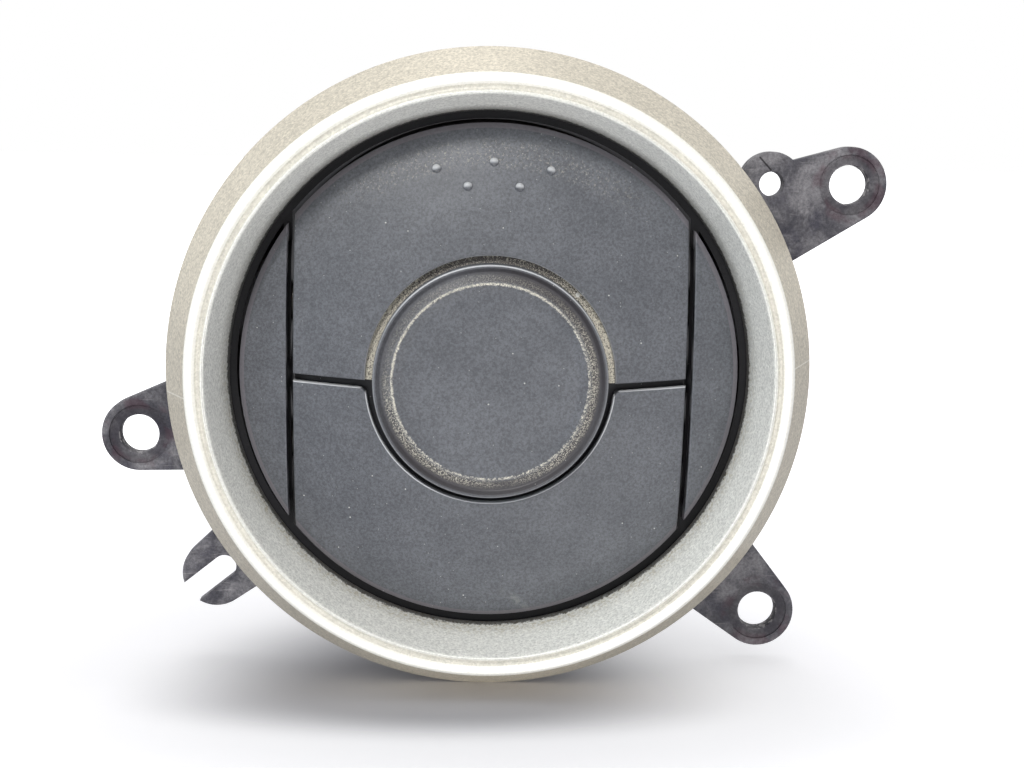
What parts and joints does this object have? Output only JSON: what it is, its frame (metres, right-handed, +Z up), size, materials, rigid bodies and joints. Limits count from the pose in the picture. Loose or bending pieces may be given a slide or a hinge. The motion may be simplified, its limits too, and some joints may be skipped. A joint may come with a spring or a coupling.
{
  "type": "dashboard air vent",
  "caption": "Round dashboard air vent with a metallic bezel, a turning barrel and linked tilting blades that close to a domed face with a round boss.",
  "frame": {"origin": "on the vent's axis, in the plane of the duct collar's shoulder, where the spigot begins", "axes": "+Y along the axis into the dashboard, +Z up when fitted, the domed face looks along -Y"},
  "size_m": [0.1299, 0.0616, 0.1024],
  "materials": {
    "bezel_paint": "metallic champagne silver paint with a fine sparkle",
    "face_satin": "fine grained satin charcoal plastic, a little dusty",
    "black_plastic": "black moulded plastic with a light grain",
    "acetal": "natural white low-friction plastic",
    "foam": "soft dark grey foam",
    "felt": "dark felt",
    "zinc_steel": "zinc plated steel"
  },
  "bodies": {
    "fixed_housing": {"bezel_ring": "bezel_paint", "housing": "black_plastic", "duct_collar": "black_plastic", "duct_seal": "foam", "collar_screws": "zinc_steel", "friction_ring": "felt"},
    "turning_barrel": {"barrel": "black_plastic", "left_cheek": "face_satin", "right_cheek": "face_satin", "upper_left_bush": "acetal", "upper_right_bush": "acetal", "lower_left_bush": "acetal", "lower_right_bush": "acetal"},
    "upper_flap": {"upper_blade": "face_satin", "upper_crank": "acetal"},
    "lower_flap": {"lower_blade": "face_satin", "lower_crank": "acetal"},
    "linkage": {"link_rod": "acetal"}
  },
  "joints": [
    {"name": "barrel_turn", "type": "hinge", "parent": "fixed_housing", "child": "turning_barrel", "pos_m": [0, 0, 0], "axis": [0, 1, 0], "continuous": true},
    {"name": "upper_tilt", "type": "hinge", "parent": "turning_barrel", "child": "upper_flap", "pos_m": [0, -0.034, 0.011], "axis": [-1, 0, 0], "range_deg": [0, 80]},
    {"name": "lower_tilt", "type": "hinge", "parent": "turning_barrel", "child": "lower_flap", "pos_m": [0, -0.034, -0.011], "axis": [-1, 0, 0], "range_deg": [0, 80]},
    {"name": "link_swing", "type": "hinge", "parent": "upper_flap", "child": "linkage", "pos_m": [0, -0.0294, 0.01486], "axis": [-1, 0, 0], "range_deg": [-80, 0]}
  ],
  "couplings": [
    {"joint": "lower_tilt", "follows": "upper_tilt", "ratio": 1},
    {"joint": "link_swing", "follows": "upper_tilt", "ratio": -1}
  ]
}
